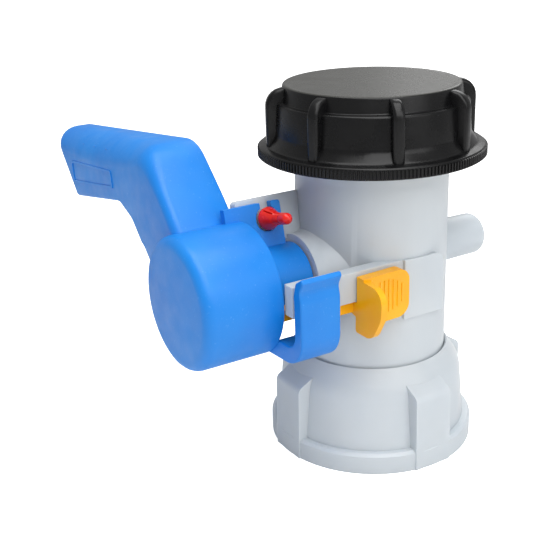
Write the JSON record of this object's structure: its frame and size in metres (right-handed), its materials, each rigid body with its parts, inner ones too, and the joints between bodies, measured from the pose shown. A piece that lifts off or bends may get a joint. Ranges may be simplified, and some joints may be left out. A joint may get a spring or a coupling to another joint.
{
  "type": "ibc tank valve",
  "caption": "Butterfly valve for an intermediate bulk container, with a cranked lever handle, locking slide, lock screw, threaded union nut and screwed outlet cap.",
  "frame": {"origin": "centre of the union nut's lower face, on the flow axis", "axes": "+Z along the flow axis towards the capped outlet, -Y along the stem towards the handle, +X towards the locking slide; the lever points to -X in the shut position"},
  "size_m": [0.1692, 0.1364, 0.1393],
  "materials": {
    "clear_plastic": "milky, slightly translucent polyethylene, satin",
    "white_plastic": "opaque white engineering plastic",
    "black_plastic": "glossy black polypropylene",
    "blue_plastic": "fibre filled blue polypropylene, satin with pale specks",
    "yellow_plastic": "satin yellow polyethylene",
    "red_plastic": "glossy red plastic",
    "stem_plastic": "natural plastic, satin",
    "seal_rubber": "black elastomer",
    "seal_foam": "white foamed polyethylene",
    "spring_steel": "bright stainless spring steel"
  },
  "bodies": {
    "body": {"valve_body": "clear_plastic", "nut_snap_ring": "white_plastic", "inlet_gasket": "seal_rubber", "pivot_bush": "white_plastic", "gland_bush": "white_plastic", "gland_clip": "spring_steel"},
    "nut": {"union_nut": "clear_plastic"},
    "cap_seal": {"cap_gasket": "seal_foam"},
    "cap": {"outlet_cap": "black_plastic"},
    "handle": {"lever_handle": "blue_plastic", "stem": "stem_plastic", "inner_o_ring": "seal_rubber", "outer_o_ring": "seal_rubber", "butterfly_disc": "stem_plastic", "disc_seal_ring": "seal_rubber", "disc_pin": "spring_steel", "handle_clip": "spring_steel"},
    "slide": {"locking_slide": "yellow_plastic"},
    "screw": {"lock_screw": "red_plastic"}
  },
  "joints": [
    {"name": "handle_turn", "type": "hinge", "parent": "body", "child": "handle", "pos_m": [0, 0, 0.0715], "axis": [0, 1, 0], "range_deg": [0, 80]},
    {"name": "slide_lock", "type": "slide", "parent": "body", "child": "slide", "axis": [0, -1, 0], "range_m": [0, 0.0095]},
    {"name": "lock_screw_out", "type": "slide", "parent": "body", "child": "screw", "axis": [0.9703, 0, 0.2419], "range_m": [0, 0.02]},
    {"name": "nut_turn", "type": "hinge", "parent": "body", "child": "nut", "pos_m": [0, 0, 0], "axis": [0, 0, 1], "continuous": true},
    {"name": "cap_lift", "type": "slide", "parent": "body", "child": "cap_seal", "axis": [0, 0, 1], "range_m": [0, 0.018]},
    {"name": "cap_turn", "type": "hinge", "parent": "cap_seal", "child": "cap", "pos_m": [0, 0, 0], "axis": [0, 0, 1], "range_deg": [0, 1080]}
  ],
  "couplings": [
    {"joint": "cap_lift", "follows": "cap_turn", "m_per_rad": 0.00095493}
  ]
}
